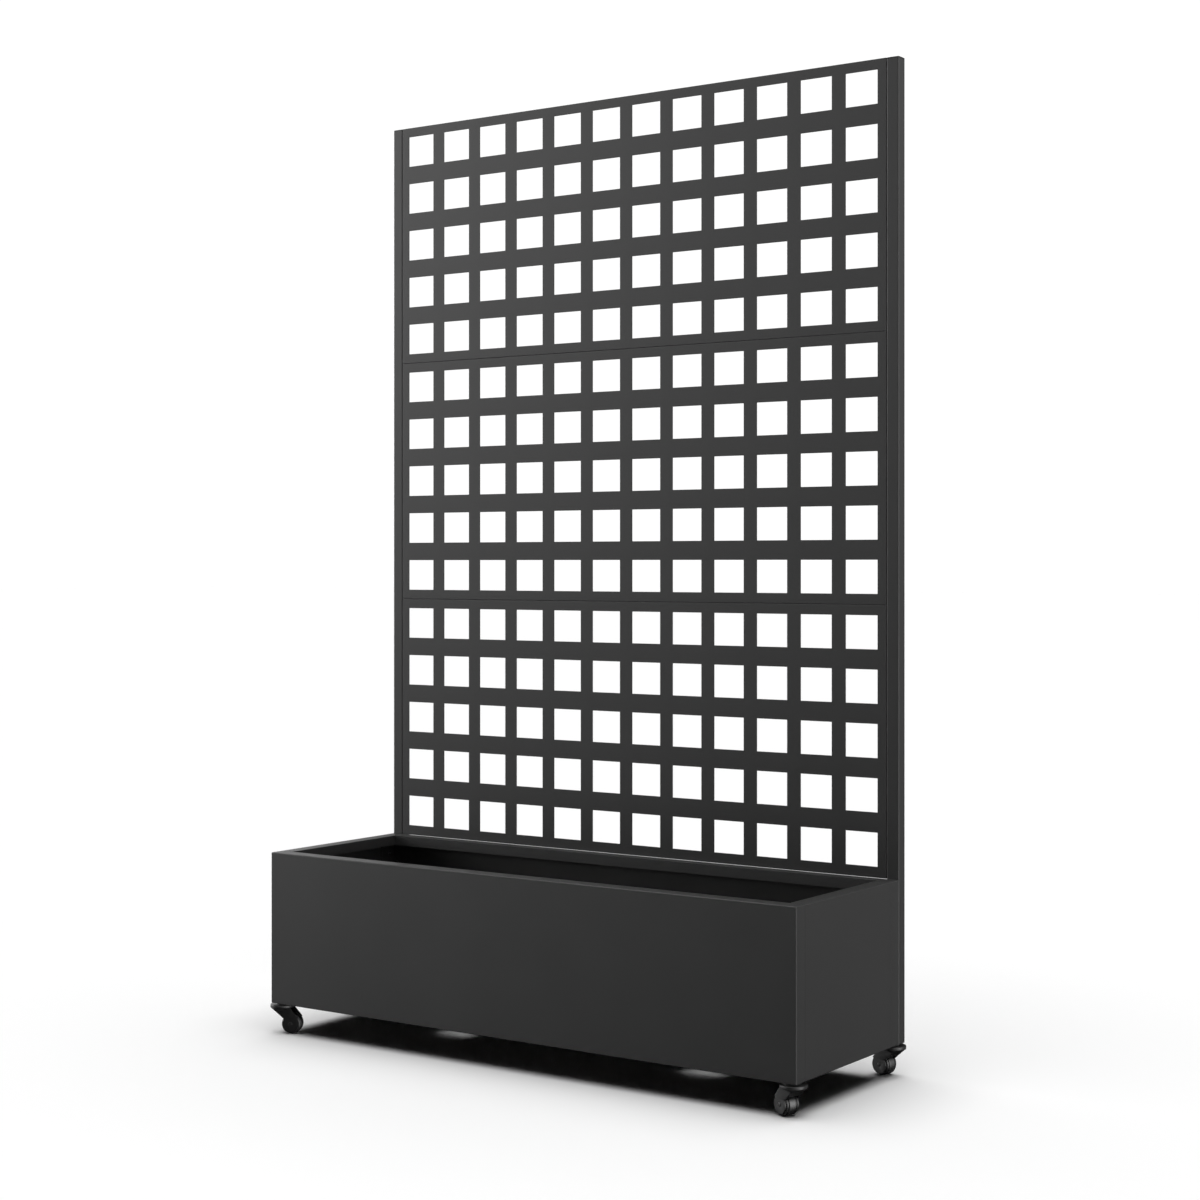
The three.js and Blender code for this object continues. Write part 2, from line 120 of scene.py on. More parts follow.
def finish_material(name, base, spread, roughness, rough_spread, grain, bump,
                    metallic=0.0, dust=0.0, ior=1.5):
    """Procedural paint, metal or plastic: fine grain, orange peel, soft mottling and dust."""
    made = bpy.data.materials.new(name)
    made.use_nodes = True
    made.diffuse_color = grey(base)
    tree = Tree(made.node_tree)
    place = tree.node("ShaderNodeTexCoord").outputs["Object"]

    def noise(scale, detail, roughness_of_noise=0.5):
        return tree.node("ShaderNodeTexNoise", {
            "Vector": place, "Scale": scale, "Detail": detail,
            "Roughness": roughness_of_noise}).outputs[0]

    coarse = noise(COARSE_SCALE, 4.0, 0.55)
    fine = noise(grain, 3.0, 0.6)
    peel = noise(grain * PEEL_SHARE, 2.0)
    mottle = tree.math("ADD", tree.math("MULTIPLY", coarse, 0.65),
                       tree.math("MULTIPLY", fine, 0.35))
    colour = tree.mix(tree.math("MULTIPLY_ADD", mottle, 1.6, -0.3, clamp=True),
                      grey(base * (1 - spread)), grey(base * (1 + spread)))
    rough = tree.math("MULTIPLY_ADD", tree.math("SUBTRACT", mottle, 0.5),
                      2 * rough_spread, roughness)
    if dust:
        specks = tree.node("ShaderNodeTexVoronoi", {
            "Vector": place, "Scale": SPECK_SCALE}).outputs["Distance"]
        spot = tree.math("LESS_THAN", specks, SPECK_SIZE)
        patch = tree.math("MULTIPLY_ADD", noise(PATCH_SCALE, 2.0), 4.0, -2.2, clamp=True)
        lies = tree.math("MULTIPLY", spot, patch)
        colour = tree.mix(tree.math("MULTIPLY", lies, dust), colour,
                          grey(base * DUST_LIGHTER, DUST_TINT))
    height = tree.math("ADD", tree.math("MULTIPLY", fine, 0.45),
                       tree.math("MULTIPLY", peel, 0.55))
    raised = tree.node("ShaderNodeBump", {
        "Height": height, "Strength": bump, "Distance": BUMP_HEIGHT})
    tree.finish("ShaderNodeOutputMaterial", tree.node("ShaderNodeBsdfPrincipled", {
        "Base Color": colour, "Roughness": rough, "Metallic": metallic,
        "Normal": raised.outputs[0], "IOR": ior}))
    return made


# Name, base, spread, roughness, its spread, grain, bump
PAINT = finish_material("charcoal_powder_coat", 0.020, 0.07, 0.36, 0.05, 900, 0.10,
                        dust=0.25, ior=1.53)
# Lighter copy of the charcoal coat for the trough's inside: painted light, standing in for light
# that reaches the inside
INSIDE_PAINTED_LIGHT = finish_material("charcoal_coat_inside_painted_light", 0.034, 0.10, 0.43, 0.05, 850, 0.10,
                              dust=0.3)
# Darker copy of the charcoal coat for the floor panel: painted shade, which deepens the shadow
# under the trough
FLOOR_PAINTED_SHADE = finish_material("charcoal_coat_floor_painted_shade", 0.012, 0.10, 0.70, 0.08, 800, 0.12,
                              dust=0.4, ior=1.2)
# Lighter copy of the charcoal coat on bends and cut edges: partly paint worn thinner on the bends,
# partly a painted highlight along them
PAINT_EDGE = finish_material("charcoal_coat_on_bends", 0.024, 0.12, 0.36, 0.07, 700, 0.08,
                             dust=0.1)
POST_PAINT = finish_material("charcoal_coat_posts", 0.018, 0.07, 0.41, 0.05, 850, 0.10,
                             dust=0.2)
TRELLIS_PAINT = finish_material("charcoal_coat_trellis", 0.018, 0.07, 0.42, 0.05, 950, 0.10,
                                dust=0.2)
STEEL = finish_material("blackened_fasteners", 0.05, 0.2, 0.40, 0.08, 600, 0.12, metallic=0.8)
CASTER_STEEL = finish_material("black_caster_steel", 0.012, 0.12, 0.30, 0.05, 700, 0.08)
CASTER_EDGE = finish_material("rubbed_caster_steel", 0.020, 0.2, 0.28, 0.06, 600, 0.08)
RACE = finish_material("dark_zinc_race", 0.10, 0.2, 0.38, 0.10, 500, 0.10, metallic=0.9)
PLASTIC = finish_material("moulded_black_wheel", 0.024, 0.12, 0.28, 0.06, 520, 0.10,
                          dust=0.4, ior=1.62)


# ---- Mesh helpers ----

ON_FACES, ON_BENDS, ON_INSIDE = 0, 1, 2  # material slots of a folded sheet


def add_piece(name, bm, materials, body, nodes, sharp=38, weighted=True):
    """Turns a bmesh in metres into a piece that stands for CAD nodes and rides on a body."""
    bmesh.ops.recalc_face_normals(bm, faces=bm.faces)
    mesh = bpy.data.meshes.new(name)
    bm.to_mesh(mesh)
    bm.free()
    for material in materials:
        mesh.materials.append(material)
    mesh.shade_smooth()
    mesh.set_sharp_from_angle(angle=math.radians(sharp))
    piece = bpy.data.objects.new(name, mesh)
    bpy.context.scene.collection.objects.link(piece)
    if weighted:
        weigh_normals(piece, True, 80)
    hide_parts(*nodes)
    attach(piece, body)
    return piece


def weigh_normals(piece, keep_sharp, weight):
    even = piece.modifiers.new("face_weights", "WEIGHTED_NORMAL")
    even.keep_sharp = keep_sharp
    even.weight = weight


def break_edges(piece, width, segments):
    """Takes the sharpness off a sheet's cut edges, by so many mm at most: the clamp leaves none
    of it on the front and back panels and about 0.02 on the end panels."""
    broken = piece.modifiers.new("cut_edges", "BEVEL")
    broken.width = width * MM
    broken.segments = segments
    broken.limit_method = "ANGLE"
    broken.angle_limit = math.radians(50)
    broken.use_clamp_overlap = True
    broken.material = ON_BENDS
    weigh_normals(piece, False, 90)


def soften(bm, edges, offset, segments):
    """Rounds some edges of a sheet, by so many mm."""
    bmesh.ops.bevel(bm, geom=edges, offset=offset * MM, offset_type="OFFSET", segments=segments,
                    profile=0.5, affect="EDGES", clamp_overlap=False, material=ON_BENDS)


def stack(bm, rings, closed=True):
    """Skins rings of points; a closed stack joins its last ring to its first, an open one is
    capped."""
    rows = [[bm.verts.new(point) for point in points] for points in rings]
    count = len(rows[0])
    pairs = list(zip(rows, rows[1:])) + ([(rows[-1], rows[0])] if closed else [])
    for low, high in pairs:
        for step in range(count):
            after = (step + 1) % count
            bm.faces.new((low[step], low[after], high[after], high[step]))
    if not closed:
        bm.faces.new(list(reversed(rows[0])))
        bm.faces.new(rows[-1])


def ring(kind, radius, height, place, steps):
    """Ring of points in mm about the local Z axis: round, or hex with its radius to the
    corners."""
    points = []
    for step in range(steps):
        angle = 2 * math.pi * step / steps
        reach = radius
        if kind == "hex":
            reach *= math.cos(math.pi / 6) / math.cos(angle % (math.pi / 3) - math.pi / 6)
        points.append(place @ Vector((
            reach * math.cos(angle) * MM, reach * math.sin(angle) * MM, height * MM)))
    return points


def turned(bm, profile, place, steps, closed=True):
    """Turns a profile of (radius, height) or (radius, height, "hex") in mm about a placed Z
    axis."""
    rings = []
    for radius, height, *kind in profile:
        rings.append(ring(kind[0] if kind else "round", radius, height, place, steps))
    stack(bm, rings, closed)


def turned_piece(name, profile, place, steps, material, body, node, sharp):
    bm = bmesh.new()
    turned(bm, profile, place, steps)
    add_piece(name, bm, [material], body, [node], sharp)


def facing(origin, axis):
    """Places local Z along an axis at a point in mm."""
    turn = Vector((0, 0, 1)).rotation_difference(Vector(axis)).to_matrix().to_4x4()
    return Matrix.Translation(Vector(origin) * MM) @ turn


def arc(cx, cy, radius, start, end, steps):
    """Points on an arc, its angles in degrees."""
    points = []
    for step in range(steps + 1):
        angle = math.radians(start + (end - start) * step / steps)
        points.append((cx + radius * math.cos(angle), cy + radius * math.sin(angle)))
    return points


# ---- Folded sheets of the trough, in mm ----

BOX_LOW, BOX_HIGH = 60, 360
HALF_LONG, FRONT_FACE, BACK_FACE = 600, -200, 174.7
RIM = 30
BEND, HEM = 1.5, 0.7  # radii of the folds and of the hems
BEND_STEPS, HEM_STEPS = 5, 3
CUT_EDGE, CUT_EDGE_STEPS = 0.22, 2
SEEN_FROM_INSIDE = 1  # a face this far within the outer faces takes the inside's material, which is painted lighter to stand in for light reaching the trough's inside
LINE_REACH = 0.06  # an edge this near a line lies on it
SHIFT_REACH = 0.12
# The end panels' faces at the corner seams, and where they go, so that the seams are narrower
SEAM_EDGES = [(-169.2, -169.65), (143.9, 144.35)]


def on_line(edge, line):
    """True if both ends of an edge lie on a line given as two of x, y, z in mm."""
    return all(
        abs(vert.co["xyz".index(axis)] / MM - value) < LINE_REACH
        for vert in edge.verts for axis, value in line.items()
    )


def folded_sheet(node, folds, hems, shifts=(), paint=PAINT, inside=INSIDE_PAINTED_LIGHT):
    """The node's own sheet with its bends rounded and its hems eased. Each of the shifts moves
    what lies at one Y to another."""
    bm = bmesh.new()
    bm.from_mesh(NODES[node].data)
    bmesh.ops.remove_doubles(bm, verts=bm.verts, dist=0.00001)
    bmesh.ops.dissolve_limit(bm, angle_limit=math.radians(0.5), verts=bm.verts, edges=bm.edges)
    for vert in bm.verts:
        for old, new in shifts:
            if abs(vert.co.y / MM - old) < SHIFT_REACH:
                vert.co.y = new * MM
    bends = [edge for edge in bm.edges if any(on_line(edge, fold) for fold in folds)]
    soften(bm, bends, BEND, BEND_STEPS)
    eased = [edge for edge in bm.edges if any(on_line(edge, hem) for hem in hems)]
    soften(bm, eased, HEM, HEM_STEPS)
    for face in bm.faces:
        x, y, z = face.calc_center_median() / MM
        within_x = abs(x) < HALF_LONG - SEEN_FROM_INSIDE
        within_y = FRONT_FACE + SEEN_FROM_INSIDE < y < BACK_FACE - SEEN_FROM_INSIDE
        within_z = z < BOX_HIGH - SEEN_FROM_INSIDE
        if face.material_index == ON_FACES and within_x and within_y and within_z:
            face.material_index = ON_INSIDE
    piece = add_piece(f"{node}_sheet", bm, [paint, PAINT_EDGE, inside], "planter",
                      [node], weighted=False)
    break_edges(piece, CUT_EDGE, CUT_EDGE_STEPS)


def trough():
    for node, face, inward in (("front_panel", FRONT_FACE, RIM), ("back_panel", BACK_FACE, -RIM)):
        folds = [{"y": face, "z": BOX_HIGH}, {"y": face, "z": BOX_LOW}]
        for end in (-HALF_LONG, HALF_LONG):
            folds += [{"x": end, "y": face}, {"x": end, "z": BOX_HIGH}, {"x": end, "z": BOX_LOW}]
        folded_sheet(node, folds, [{"y": face + inward, "z": BOX_HIGH}])
    for node, side in (("left_end_panel", -1), ("right_end_panel", 1)):
        face = side * HALF_LONG
        folds = [{"x": face, "z": BOX_HIGH}, {"x": face, "z": BOX_LOW}]
        folded_sheet(node, folds, [{"x": face - side * RIM, "z": BOX_HIGH}], SEAM_EDGES)
    # The floor panel takes the darker coat: painted shade under the trough
    folded_sheet("floor_panel", [], [], paint=FLOOR_PAINTED_SHADE, inside=FLOOR_PAINTED_SHADE)


# ---- Posts and caps ----

POST_X, POST_Y = 587.5, 187.5
CORNER_STEPS = 5
# Rings of a square with rounded corners: half its side, corner radius, height
TUBE_RINGS = [
    (12.2, 2.2, 60), (12.5, 2.5, 60.3), (12.5, 2.5, 1857.3), (12.2, 2.2, 1857.6),
    (11.3, 1.3, 1857.6), (11.0, 1.0, 1857.3), (11.0, 1.0, 60.3), (11.3, 1.3, 60),
]
LID_RINGS = [
    (10.2, 0.8, 1845.9), (10.7, 1.0, 1846.6), (10.7, 1.0, 1857.9), (12.3, 2.3, 1857.9),
    (12.5, 2.5, 1858.1), (12.5, 2.5, 1859.0), (12.4, 2.4, 1859.4), (12.1, 2.1, 1859.7),
    (11.5, 1.7, 1859.9),
]


def rounded_square(half, radius, height, centre):
    """Ring of a square with rounded corners in mm, at a height."""
    inner = half - radius
    corners = ((inner, inner, 0), (-inner, inner, 90), (-inner, -inner, 180), (inner, -inner, 270))
    points = []
    for cx, cy, start in corners:
        points += arc(centre[0] + cx, centre[1] + cy, radius, start, start + 90, CORNER_STEPS)
    return [Vector((x, y, height)) * MM for x, y in points]


def posts():
    for side, name in ((-1, "left"), (1, "right")):
        centre = (side * POST_X, POST_Y)
        for rings, closed, piece, node in (
            (TUBE_RINGS, True, f"{name}_post_tube", f"{name}_post"),
            (LID_RINGS, False, f"{name}_post_lid", f"{name}_post_cap"),
        ):
            bm = bmesh.new()
            stack(bm, [rounded_square(*size, centre) for size in rings], closed)
            add_piece(piece, bm, [POST_PAINT], "planter", [node])


# ---- Trellis, in mm ----

PANEL_NODES = ("lower_trellis_panel", "middle_trellis_panel", "upper_trellis_panel")
PANEL_FOOT, PANEL_HIGH, PANEL_GAP = 360.8, 499.5, 0.3
LOWER_REACH = 0.8  # the lowest panel's bottom edge is this much lower than the CAD node's
PANEL_HALF, PANEL_FRONT = 574.5, 175
PANEL_SHEET, PANEL_FLANGE = 1.5, 20
COLUMNS, COLUMN_PITCH, WINDOW_WIDE = 12, 95.2, 66
ROWS, ROW_PITCH, WINDOW_HIGH = 5, 99.5, 62.5
PANEL_BEND, PANEL_BEND_STEPS = 0.8, 4
PANEL_CUT_EDGE = 0.2
SAME_PLACE = 0.01


def near(a, b):
    return abs(a - b) < SAME_PLACE


def pierced_panel(name, low, high, reach):
    """Pan-folded sheet with a lattice of square windows and its edges turned back. Its bottom
    edge goes down by the reach, and its windows stay."""
    middle = (low + high) / 2
    low -= reach
    across = [-PANEL_HALF]
    for column in range(COLUMNS):
        left = (column - (COLUMNS - 1) / 2) * COLUMN_PITCH - WINDOW_WIDE / 2
        across += [left, left + WINDOW_WIDE]
    across.append(PANEL_HALF)
    up = [low]
    for row in range(ROWS):
        foot = middle + (row - (ROWS - 1) / 2) * ROW_PITCH - WINDOW_HIGH / 2
        up += [foot, foot + WINDOW_HIGH]
    up.append(high)
    back_across = [-PANEL_HALF + PANEL_SHEET] + across[1:-1] + [PANEL_HALF - PANEL_SHEET]
    back_up = [low + PANEL_SHEET] + up[1:-1] + [high - PANEL_SHEET]
    bm = bmesh.new()

    def grid(xs, zs, y):
        return [[bm.verts.new(Vector((x, y, z)) * MM) for z in zs] for x in xs]

    face = grid(across, up, PANEL_FRONT)
    rear = grid(back_across, back_up, PANEL_FRONT + PANEL_SHEET)
    wide, tall = len(across) - 1, len(up) - 1
    for i in range(wide):
        for j in range(tall):
            window = i % 2 == 1 and j % 2 == 1
            corners = ((i, j), (i + 1, j), (i + 1, j + 1), (i, j + 1))
            if not window:
                for layer in (face, rear):
                    bm.faces.new([layer[a][b] for a, b in corners])
            else:
                for (a, b), (c, d) in zip(corners, corners[1:] + corners[:1]):
                    bm.faces.new((face[a][b], face[c][d], rear[c][d], rear[a][b]))
    loop = [(i, 0) for i in range(wide)] + [(wide, j) for j in range(tall)]
    loop += [(i, tall) for i in range(wide, 0, -1)] + [(0, j) for j in range(tall, 0, -1)]
    flange_end = PANEL_FRONT + PANEL_FLANGE
    outer, inner = [], []
    for i, j in loop:
        outer.append(bm.verts.new(Vector((across[i], flange_end, up[j])) * MM))
        inner.append(bm.verts.new(Vector((back_across[i], flange_end, back_up[j])) * MM))
    for step, (i, j) in enumerate(loop):
        after = (step + 1) % len(loop)
        k, m = loop[after]
        bm.faces.new((face[i][j], face[k][m], outer[after], outer[step]))
        bm.faces.new((outer[step], outer[after], inner[after], inner[step]))
        bm.faces.new((rear[i][j], rear[k][m], inner[after], inner[step]))
    bm.normal_update()
    bmesh.ops.recalc_face_normals(bm, faces=bm.faces)

    def at_side(x):
        return near(abs(x), PANEL_HALF)

    def at_end(z):
        return near(z, low) or near(z, high)

    def fold(edge):
        """True for the folds round the front face, and those down the flanges' corners."""
        (xa, ya, za), (xb, yb, zb) = [vert.co / MM for vert in edge.verts]
        if not all(at_side(x) or at_end(z) for x, z in ((xa, za), (xb, zb))):
            return False
        if near(ya, PANEL_FRONT) and near(yb, PANEL_FRONT):
            return near(xa, xb) and at_side(xa) or near(za, zb) and at_end(za)
        return at_side(xa) and at_side(xb) and near(za, zb) and at_end(za) and near(xa, xb)

    soften(bm, [edge for edge in bm.edges if fold(edge)], PANEL_BEND, PANEL_BEND_STEPS)
    piece = add_piece(name + "_sheet", bm, [TRELLIS_PAINT, PAINT_EDGE], "planter",
                      [name], weighted=False)
    break_edges(piece, PANEL_CUT_EDGE, 1)


def trellis():
    for index, name in enumerate(PANEL_NODES):
        low = PANEL_FOOT + index * (PANEL_HIGH + PANEL_GAP)
        pierced_panel(name, low, low + PANEL_HIGH, LOWER_REACH if index == 0 else 0)


# ---- Fasteners: profiles of (radius, height) from the seat outward, in mm ----

FASTENER_STEPS, FASTENER_SHARP = 48, 30
NUT = [
    (2.8, 0.3), (3.1, 0), (5.2, 0), (5.4, 0.2), (5.4, 0.75), (5.1, 1.0), (4.55, 1.15, "hex"),
    (4.6, 1.3, "hex"), (4.6, 3.45, "hex"), (4.25, 3.85, "hex"), (3.9, 4.0), (3.1, 4.0),
    (2.8, 3.7),
]
BOLT_HEAD = 3.4
BOLT = [
    (3.0, -8.2), (2.6, -8.6), (0.05, -8.6), (0.05, BOLT_HEAD), (3.9, BOLT_HEAD),
    (4.5, 3.3, "hex"), (5.2, 2.9, "hex"), (5.2, 0.35, "hex"), (5.1, 0.2, "hex"), (4.4, 0.0),
    (3.0, 0.0),
]
SCREW_HEAD = 2.2
SCREW = [
    (2.0, -8.1), (1.5, -8.5), (0.05, -8.5), (0.05, 1.0), (1.4, 1.0, "hex"), (1.45, 2.05, "hex"),
    (1.75, SCREW_HEAD), (2.5, 2.05), (3.2, 1.7), (3.75, 1.1), (4.0, 0.45), (4.0, 0.12),
    (3.8, 0.0), (2.0, 0.0),
]


def box_of(node):
    """Middle, low corner and high corner of a node's box, in mm."""
    low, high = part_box(node)
    return (low + high) / 2 / MM, low / MM, high / MM


def fasteners():
    for node in sorted(NODES):
        if node.startswith("corner_nut"):
            middle, low, high = box_of(node)
            inward = -1 if middle.x > 0 else 1
            seat = (low.x if inward > 0 else high.x, middle.y, middle.z)
            profile, axis = NUT, (inward, 0, 0)
        elif node.startswith("post_bolt"):
            middle, low, high = box_of(node)
            seat = (middle.x, low.y + BOLT_HEAD, middle.z)
            profile, axis = BOLT, (0, -1, 0)
        elif "_screw_" in node:
            middle, low, high = box_of(node)
            outward = 1 if middle.x > 0 else -1
            head = low.x if outward > 0 else high.x
            seat = (head + outward * SCREW_HEAD, middle.y, middle.z)
            profile, axis = SCREW, (-outward, 0, 0)
        else:
            continue
        turned_piece(f"{node}_hex", profile, facing(seat, axis), FASTENER_STEPS, STEEL,
                     "planter", node, FASTENER_SHARP)


# ---- Casters, in mm ----

SWIVEL_X, SWIVEL_Y = 581, 181  # from the middle to the swivel axes
CASTERS = {  # side along X, side along Y, the way the wheel trails in degrees from +X
    "front_left": (-1, -1, 24),
    "front_right": (1, -1, 154),
    "rear_left": (-1, 1, -24),
    "rear_right": (1, 1, 165),
}
CASTER_SHARP, HOOD_SHARP = 50, 60
WHEEL_R, TRAIL = 20, 16.5
INNER_LEG, OUTER_LEG = 12.3, 14.5
LEG_DISC = 16.6  # radius of a leg's round end, over the wheel's side
LEG_DISC_START, LEG_DISC_END, LEG_DISC_STEPS = 145.8, 397.8, 48

# Height, where the sides end ahead of the swivel axis, how far the front bulges beyond them,
# half the width, and the reach behind the axis
HOOD_LEVELS = [
    (57.2, 4.5, 24.0, 24.0, 19.5), (56.9, 4.5, 24.25, 24.25, 19.75), (52.4, 4.5, 24.3, 24.3, 19.8),
    (51.4, 7.0, 21.4, 23.7, 19.2), (50, 14, 12.5, 19.5, 16), (48, 17.5, 5.5, 15.5, 13),
    (46.4, 16.8, 3.6, 14.5, 12), (42, 11.7, 2.6, 14.5, 12), (37.6, 6.4, 2.2, 14.5, 12),
]
HOOD_STEPS = 32  # to each half of a level
LEG_FRONT = [(-20.5, 49.8), (-16.8, 46.4), (-6.4, 37.4)]
LEG_REAR = [(32, 32), (13.5, 53.6), (-10, 53.6)]
WHEEL_ROOM = [(-11.5, 46.5), (-7.5, 42), (-2, 36), (-2, 5), (60, 5), (60, 50.2), (-9, 50.2)]
PIN_STEPS = 64
VOXEL, SMOOTHING, SMOOTH_ROUNDS, KEPT_FACES = 0.3, 0.5, 4, 0.06

# Closed profiles: the wheel's and the axle's are one half each, (radius, distance from the
# middle); the rest are (radius, height)
WHEEL_HALF = [
    (20.0, 0.0), (19.99, 3.0), (19.92, 5.0), (19.8, 5.9), (19.6, 6.3), (19.3, 6.55),
    (18.8, 6.7), (17.9, 6.85), (17.55, 7.15), (17.5, 7.9), (17.55, 8.65), (17.9, 8.95),
    (18.8, 9.1), (19.2, 9.25), (19.3, 9.5), (19.25, 10.1), (19.0, 10.7), (18.6, 11.15),
    (18.0, 11.6), (17.2, 11.9), (16.4, 12.0), (4.0, 12.0), (3.5, 11.92), (3.3, 11.6),
]
AXLE_HALF = [
    (3.0, 0.0), (3.0, 14.8), (3.85, 14.8), (4.0, 14.9), (3.95, 15.1), (3.6, 15.28),
    (2.6, 15.38), (0.05, 15.4),
]
PLATE = [
    (4.3, 55.5), (6.8, 55.5), (7.0, 55.7), (7.0, 57.3), (7.2, 57.5), (16.4, 57.5),
    (16.85, 57.65), (17.0, 58.0), (17.0, 59.3), (16.8, 59.6), (16.5, 59.7), (6.7, 59.7),
    (6.7, 57.9), (4.3, 57.9),
]
KINGPIN = [
    (0.05, 48.8), (4.6, 48.8), (5.6, 49.0), (6.2, 49.5), (6.4, 50.0), (4.0, 50.0), (4.0, 58.2),
    (6.4, 58.2), (6.4, 59.2), (6.2, 59.4), (0.05, 59.4),
]
SWIVEL_RACE = [
    (7.3, 55.3), (7.6, 55.0), (12.0, 55.0), (12.3, 55.3), (12.3, 55.85), (11.9, 56.1),
    (12.3, 56.35), (12.3, 56.9), (12.0, 57.2), (7.6, 57.2), (7.3, 56.9),
]


def plain_object(name, bm):
    bmesh.ops.recalc_face_normals(bm, faces=bm.faces)
    mesh = bpy.data.meshes.new(name)
    bm.to_mesh(mesh)
    bm.free()
    made = bpy.data.objects.new(name, mesh)
    bpy.context.scene.collection.objects.link(made)
    return made


def slab(name, points, low, high):
    """Closed plate from an outline in X and Z, between two Y levels, in mm."""
    bm = bmesh.new()
    stack(bm, [[Vector((x, y, z)) * MM for x, z in points] for y in (low, high)], closed=False)
    return plain_object(name, bm)


def pin(name, radius, axis, low, high, at):
    """Closed bar along Y or Z, in mm."""
    bm = bmesh.new()
    if axis == "z":
        place = facing((at[0], at[1], 0), (0, 0, 1))
    else:
        place = facing((at[0], 0, at[1]), (0, 1, 0))
    turned(bm, [(radius, low), (radius, high)], place, PIN_STEPS, closed=False)
    return plain_object(name, bm)


def hood_ring(height, sides, bulge, half, behind):
    points = []
    for step in range(HOOD_STEPS + 1):
        angle = math.pi * (step / HOOD_STEPS - 0.5)
        x = -sides - bulge * math.cos(angle)
        points.append(Vector((x, -half * math.sin(angle), height)) * MM)
    for step in range(1, HOOD_STEPS):
        angle = math.pi * (step / HOOD_STEPS + 0.5)
        x = -sides - (behind + sides) * math.cos(angle)
        points.append(Vector((x, -half * math.sin(angle), height)) * MM)
    return points


def fork_mesh():
    """Hooded fork with its two legs and the room for its wheel, as one moulded body trailing
    along +X."""
    bm = bmesh.new()
    stack(bm, [hood_ring(*level) for level in HOOD_LEVELS], closed=False)
    base = plain_object("hood", bm)
    disc = arc(TRAIL, WHEEL_R, LEG_DISC, LEG_DISC_START, LEG_DISC_END, LEG_DISC_STEPS)
    leg = LEG_FRONT + disc + LEG_REAR
    adds = [slab("leg_a", leg, -OUTER_LEG, -INNER_LEG), slab("leg_b", leg, INNER_LEG, OUTER_LEG)]
    cuts = [
        slab("room", WHEEL_ROOM, -INNER_LEG, INNER_LEG),
        pin("bore", 4.3, "z", 40, 70, (0, 0)),
        pin("seat", 12.6, "z", 54.7, 70, (0, 0)),
        pin("axle_hole", 3.3, "y", -20, 20, (TRAIL, WHEEL_R)),
    ]
    for index, tool in enumerate(adds + cuts):
        step = base.modifiers.new(f"step_{index}", "BOOLEAN")
        step.operation = "UNION" if tool in adds else "DIFFERENCE"
        step.solver = "EXACT"
        step.object = tool
    voxels = base.modifiers.new("voxels", "REMESH")
    voxels.mode = "VOXEL"
    voxels.voxel_size = VOXEL * MM
    smooth = base.modifiers.new("smooth", "SMOOTH")
    smooth.factor = SMOOTHING
    smooth.iterations = SMOOTH_ROUNDS
    fewer = base.modifiers.new("fewer", "DECIMATE")
    fewer.ratio = KEPT_FACES
    graph = bpy.context.evaluated_depsgraph_get()
    graph.update()
    made = bpy.data.meshes.new_from_object(base.evaluated_get(graph))
    for tool in [base] + adds + cuts:
        bpy.data.objects.remove(tool)
    return made


def casters():
    moulded = fork_mesh()
    wheel = WHEEL_HALF + [(radius, -out) for radius, out in reversed(WHEEL_HALF[1:])]
    axle = [(radius, -out) for radius, out in reversed(AXLE_HALF)] + AXLE_HALF[1:]
    for name, (side_x, side_y, trailing) in CASTERS.items():
        turn = Matrix.Rotation(math.radians(trailing), 4, "Z")
        place = Matrix.Translation(Vector((side_x * SWIVEL_X, side_y * SWIVEL_Y, 0)) * MM)
        rolls = place @ turn @ facing((TRAIL, 0, WHEEL_R), (0, 1, 0))
        fork_body, wheel_body = f"caster_{name}", f"wheel_{name}"
        bm = bmesh.new()
        bm.from_mesh(moulded)
        bm.transform(place @ turn)
        add_piece(f"caster_hood_{name}", bm, [CASTER_STEEL], fork_body,
                  [f"caster_fork_{name}"], HOOD_SHARP, weighted=False)
        for piece, profile, at, steps, material, body, slot, node in (
            ("tyre", wheel, rolls, 96, PLASTIC, wheel_body, "wheel_plastic", "caster_wheel"),
            ("pin", axle, rolls, 40, CASTER_EDGE, fork_body, "caster_steel", "caster_axle"),
            ("disc", PLATE, place, 72, CASTER_STEEL, "planter", "caster_steel", "caster_plate"),
            ("rivet", KINGPIN, place, 40, RACE, "planter", "caster_steel", "caster_kingpin"),
            ("race", SWIVEL_RACE, place, 64, RACE, "planter", "caster_steel", "swivel_race"),
        ):
            turned_piece(f"caster_{piece}_{name}", profile, at, steps, material, body,
                         f"{node}_{name}", CASTER_SHARP)


trough()
posts()
trellis()
fasteners()
casters()


# ---- Studio ----

# The world is white to the camera and black to diffuse rays, so that the lamps alone give diffuse
# light. Glossy rays meet soft areas of light, set by direction. The ramps run over the ray's
# direction, from straight down at 0 to straight up at 1.
STEEP = [(0.0, 0.0), (0.30, 0.0), (0.37, 0.08), (0.46, 0.20), (0.52, 0.44), (0.60, 1.04),
         (0.75, 1.25), (1.0, 1.25)]
GENTLE = [(0.0, 0.0), (0.28, 0.0), (0.36, 0.30), (0.41, 0.34), (0.50, 0.44), (0.60, 0.95),
          (0.75, 1.0), (1.0, 1.0)]
RAISED = [(0.0, 0.0), (0.50, 0.0), (0.54, 1.0), (1.0, 1.0)]
TALL = [(0.0, 0.0), (0.12, 0.04), (0.25, 0.30), (0.38, 0.85), (0.50, 1.0), (0.62, 0.9),
        (0.75, 0.25), (0.85, 0.0), (1.0, 0.0)]
ABOVE = [(0.0, 0.0), (0.50, 0.01), (0.80, 0.02), (0.90, 0.4), (1.0, 0.5)]
BACKGROUND = 1.05
POLE_GUARD = 1.02  # over 1, so that nothing is divided by zero straight up or down
LAMPS = (("overhead_soft", 66, 2.86), ("overhead_wide", 84, 0.40))  # name, angle, strength
LAMP_HIGH = 4
FLOOR_REACH, FLOOR_LEVEL = 60, 0.97
WHITE = (1, 1, 1, 1)


